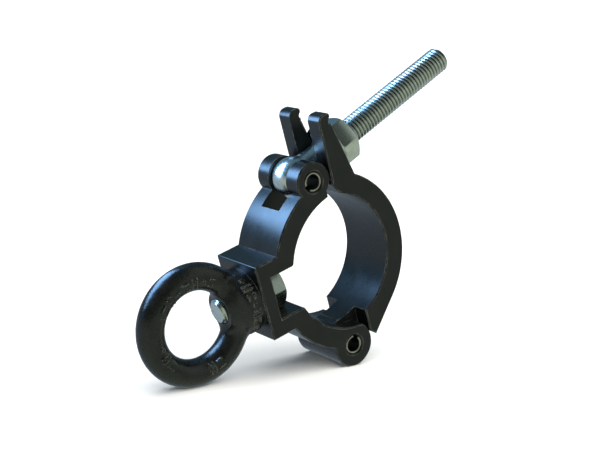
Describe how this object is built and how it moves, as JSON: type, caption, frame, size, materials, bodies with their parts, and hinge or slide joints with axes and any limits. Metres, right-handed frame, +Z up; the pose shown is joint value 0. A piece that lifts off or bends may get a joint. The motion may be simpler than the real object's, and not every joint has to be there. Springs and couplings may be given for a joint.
{
  "type": "hinged pipe clamp with swing bolt and lifting eye nut",
  "caption": "Hinged pipe clamp: a strap jaw closes on a saddle jaw, held by a swing bolt and hexagon nut, with a forged lifting eye nut bolted to the saddle's back.",
  "frame": {"origin": "centre of the saddle jaw's pipe seat, half way along the jaws", "axes": "+Y along the pipe, towards the back of the clamp; +Z up as the clamp stands on the eye's rim and the lower hinge; +X from the eye towards the strap jaw"},
  "size_m": [0.135, 0.025, 0.1165],
  "materials": {
    "black_aluminium": "black satin anodised",
    "black_forging": "black coated drop forging, slightly rough",
    "zinc_steel": "bright zinc plated",
    "spring_steel": "plain phosphated spring steel with bright ends"
  },
  "bodies": {
    "saddle": {"base_jaw": "black_aluminium", "upper_roll_pin": "spring_steel", "lower_roll_pin": "spring_steel", "eye_nut": "black_forging", "fixing_bolt": "zinc_steel"},
    "strap": {"strap_jaw": "black_aluminium"},
    "bolt": {"swing_bolt": "zinc_steel"},
    "nut": {"clamp_nut": "zinc_steel", "washer": "zinc_steel"}
  },
  "joints": [
    {"name": "strap_hinge", "type": "hinge", "parent": "saddle", "child": "strap", "pos_m": [0.00179, 0, -0.03345], "axis": [0, 1, 0], "range_deg": [0, 25]},
    {"name": "bolt_swing", "type": "hinge", "parent": "saddle", "child": "bolt", "pos_m": [-0.01866, 0, 0.02972], "axis": [0, -1, 0], "range_deg": [0, 90]},
    {"name": "nut_travel", "type": "slide", "parent": "bolt", "child": "nut", "axis": [0.8574, 0, 0.5146], "range_m": [0, 0.057]}
  ],
  "couplings": [
    {"joint": "bolt_swing", "follows": "strap_hinge", "ratio": 3.6},
    {"joint": "nut_travel", "follows": "strap_hinge", "m_per_rad": 0.13063}
  ]
}
